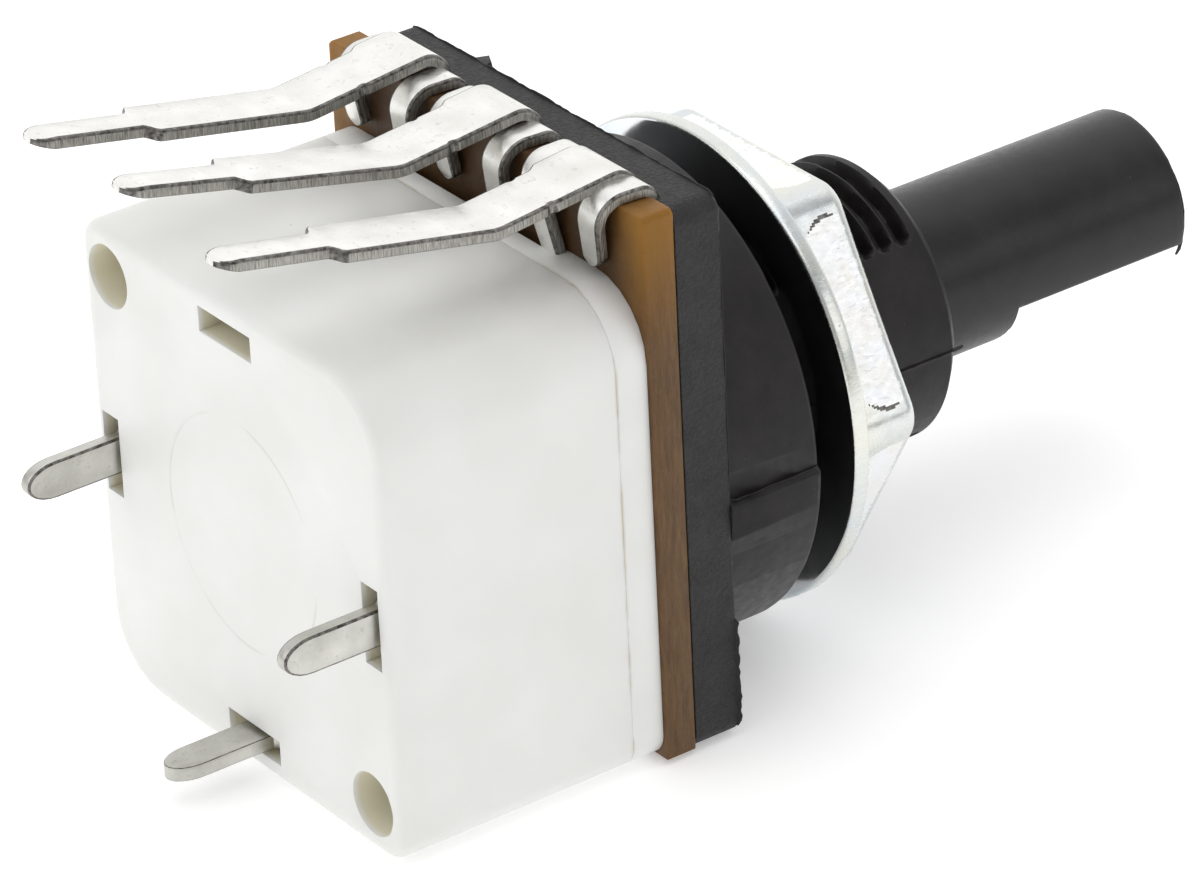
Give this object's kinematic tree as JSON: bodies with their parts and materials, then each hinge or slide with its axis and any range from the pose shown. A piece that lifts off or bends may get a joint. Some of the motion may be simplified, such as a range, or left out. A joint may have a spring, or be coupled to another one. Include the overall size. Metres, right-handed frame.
{
  "type": "panel potentiometer with switch",
  "caption": "Panel-mount rotary potentiometer with a threaded bush, hexagon nut, flatted shaft, solder terminals and a rotary switch on the back.",
  "frame": {"origin": "centre of the panel mounting face, the front face of the round drum, on the shaft axis", "axes": "-Y along the shaft towards the knob, +Y towards the switch pins, +Z towards the edge with the track terminals"},
  "size_m": [0.0172, 0.0401, 0.0223],
  "materials": {
    "black_plastic": "finely textured moulding",
    "shaft_plastic": "satin moulding",
    "natural_plastic": "natural acetal",
    "white_plastic": "smooth white moulding",
    "grey_plastic": "satin moulding",
    "board": "resin-bonded paper laminate, punched edges",
    "carbon_ink": "printed carbon",
    "silver_ink": "printed silver",
    "tin_plate": "dull tin plate",
    "zinc_plate": "clear passivated zinc plate, tumbled",
    "spring_bronze": "rolled phosphor bronze",
    "contact_silver": "silver contact alloy"
  },
  "bodies": {
    "housing": {"front_housing": "black_plastic", "track_board": "board", "carbon_track": "carbon_ink", "track_end_pads": "silver_ink", "collector_ring": "silver_ink", "terminal_left": "tin_plate", "terminal_centre": "tin_plate", "terminal_right": "tin_plate", "switch_cover": "white_plastic", "switch_housing": "white_plastic", "switch_pin_left": "tin_plate", "switch_pin_right": "tin_plate", "switch_pin_common": "tin_plate", "fixed_contact_left": "contact_silver", "fixed_contact_right": "contact_silver", "click_spring": "spring_bronze"},
    "spindle": {"shaft": "shaft_plastic", "rotor": "natural_plastic", "wiper": "spring_bronze", "switch_cam": "natural_plastic"},
    "nut": {"mounting_nut": "zinc_plate"},
    "switch_rocker": {"rocker": "grey_plastic", "contact_clip": "spring_bronze", "moving_contacts": "contact_silver"}
  },
  "joints": [
    {"name": "shaft_turn", "type": "hinge", "parent": "housing", "child": "spindle", "pos_m": [0, 0, 0], "axis": [0, 1, 0], "range_deg": [0, 300]},
    {"name": "nut_travel", "type": "slide", "parent": "housing", "child": "nut", "axis": [0, -1, 0], "range_m": [-0.0013, 0.007]},
    {"name": "rocker_throw", "type": "hinge", "parent": "housing", "child": "switch_rocker", "pos_m": [0, 0, 0.0055], "axis": [0, -1, 0], "range_deg": [0, 21.4]}
  ]
}
